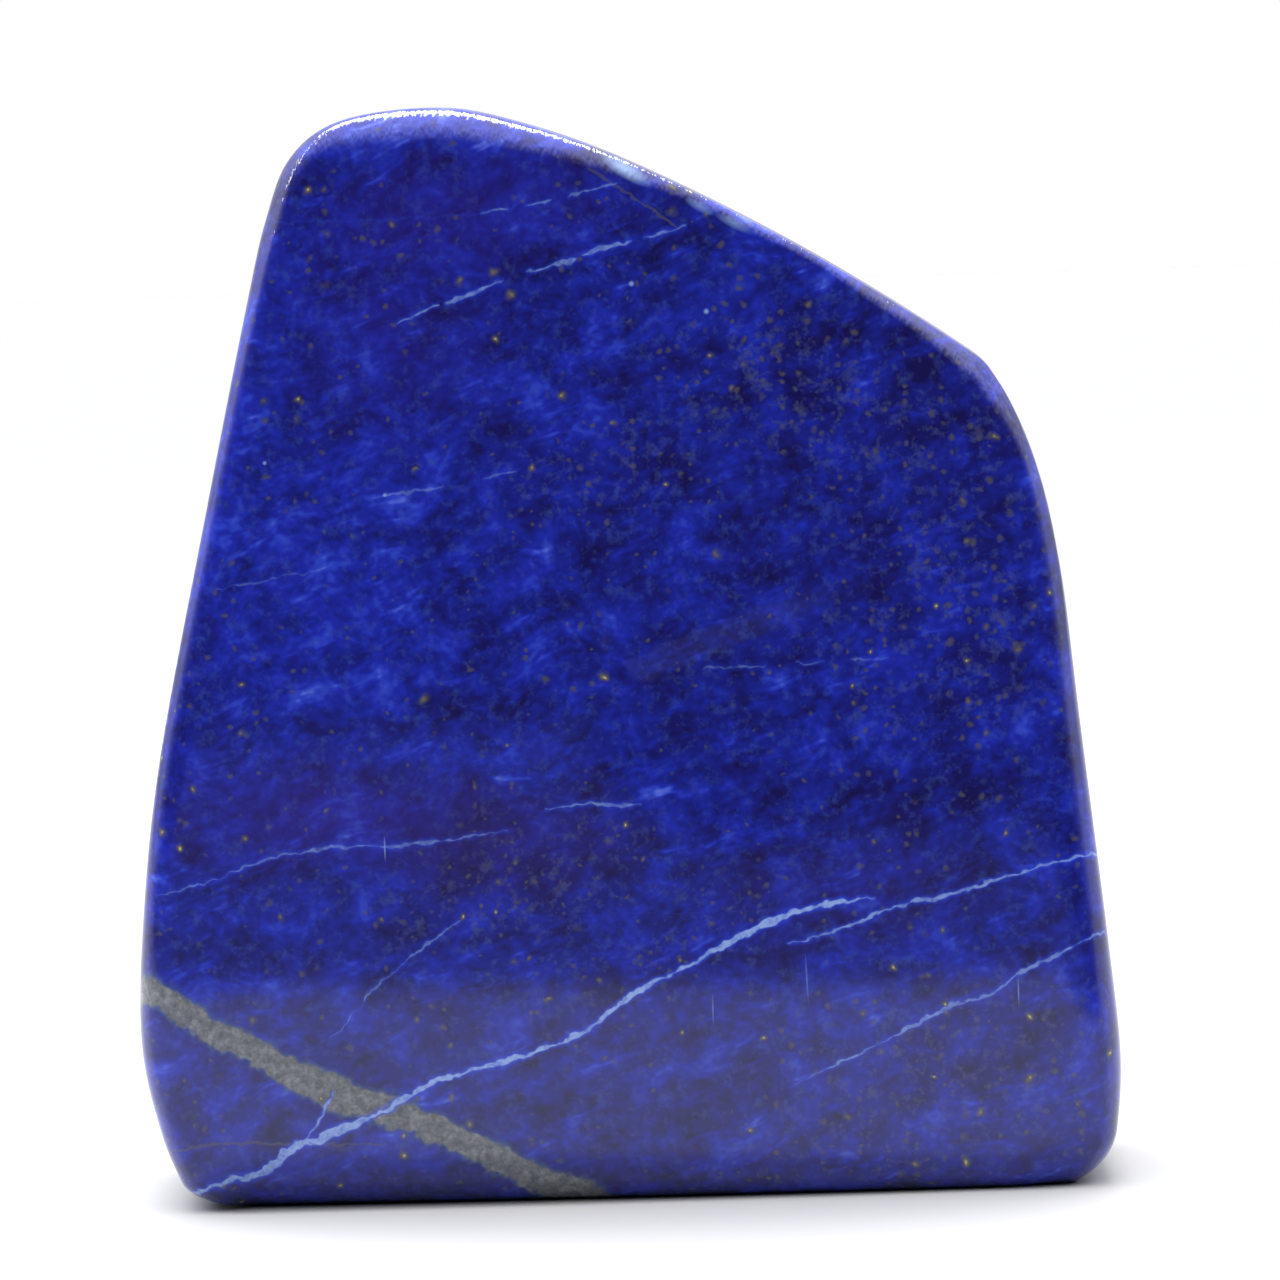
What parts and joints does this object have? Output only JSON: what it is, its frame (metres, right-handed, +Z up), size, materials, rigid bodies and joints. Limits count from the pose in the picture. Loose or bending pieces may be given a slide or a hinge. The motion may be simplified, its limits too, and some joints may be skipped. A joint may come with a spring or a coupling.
{
  "type": "polished lapis lazuli",
  "caption": "Freeform upright slab of polished lapis lazuli with rounded edges, a sloping shoulder and a flat cut base that it stands on.",
  "frame": {"origin": "middle of the flat cut base, on the surface the stone stands on", "axes": "+Z up, +X to the right seen from the polished show face, which looks to -Y"},
  "size_m": [0.0901, 0.036, 0.1],
  "materials": {
    "polished_lapis": "polished"
  },
  "bodies": {
    "root": {"lapis_stone": "polished_lapis"}
  },
  "joints": []
}
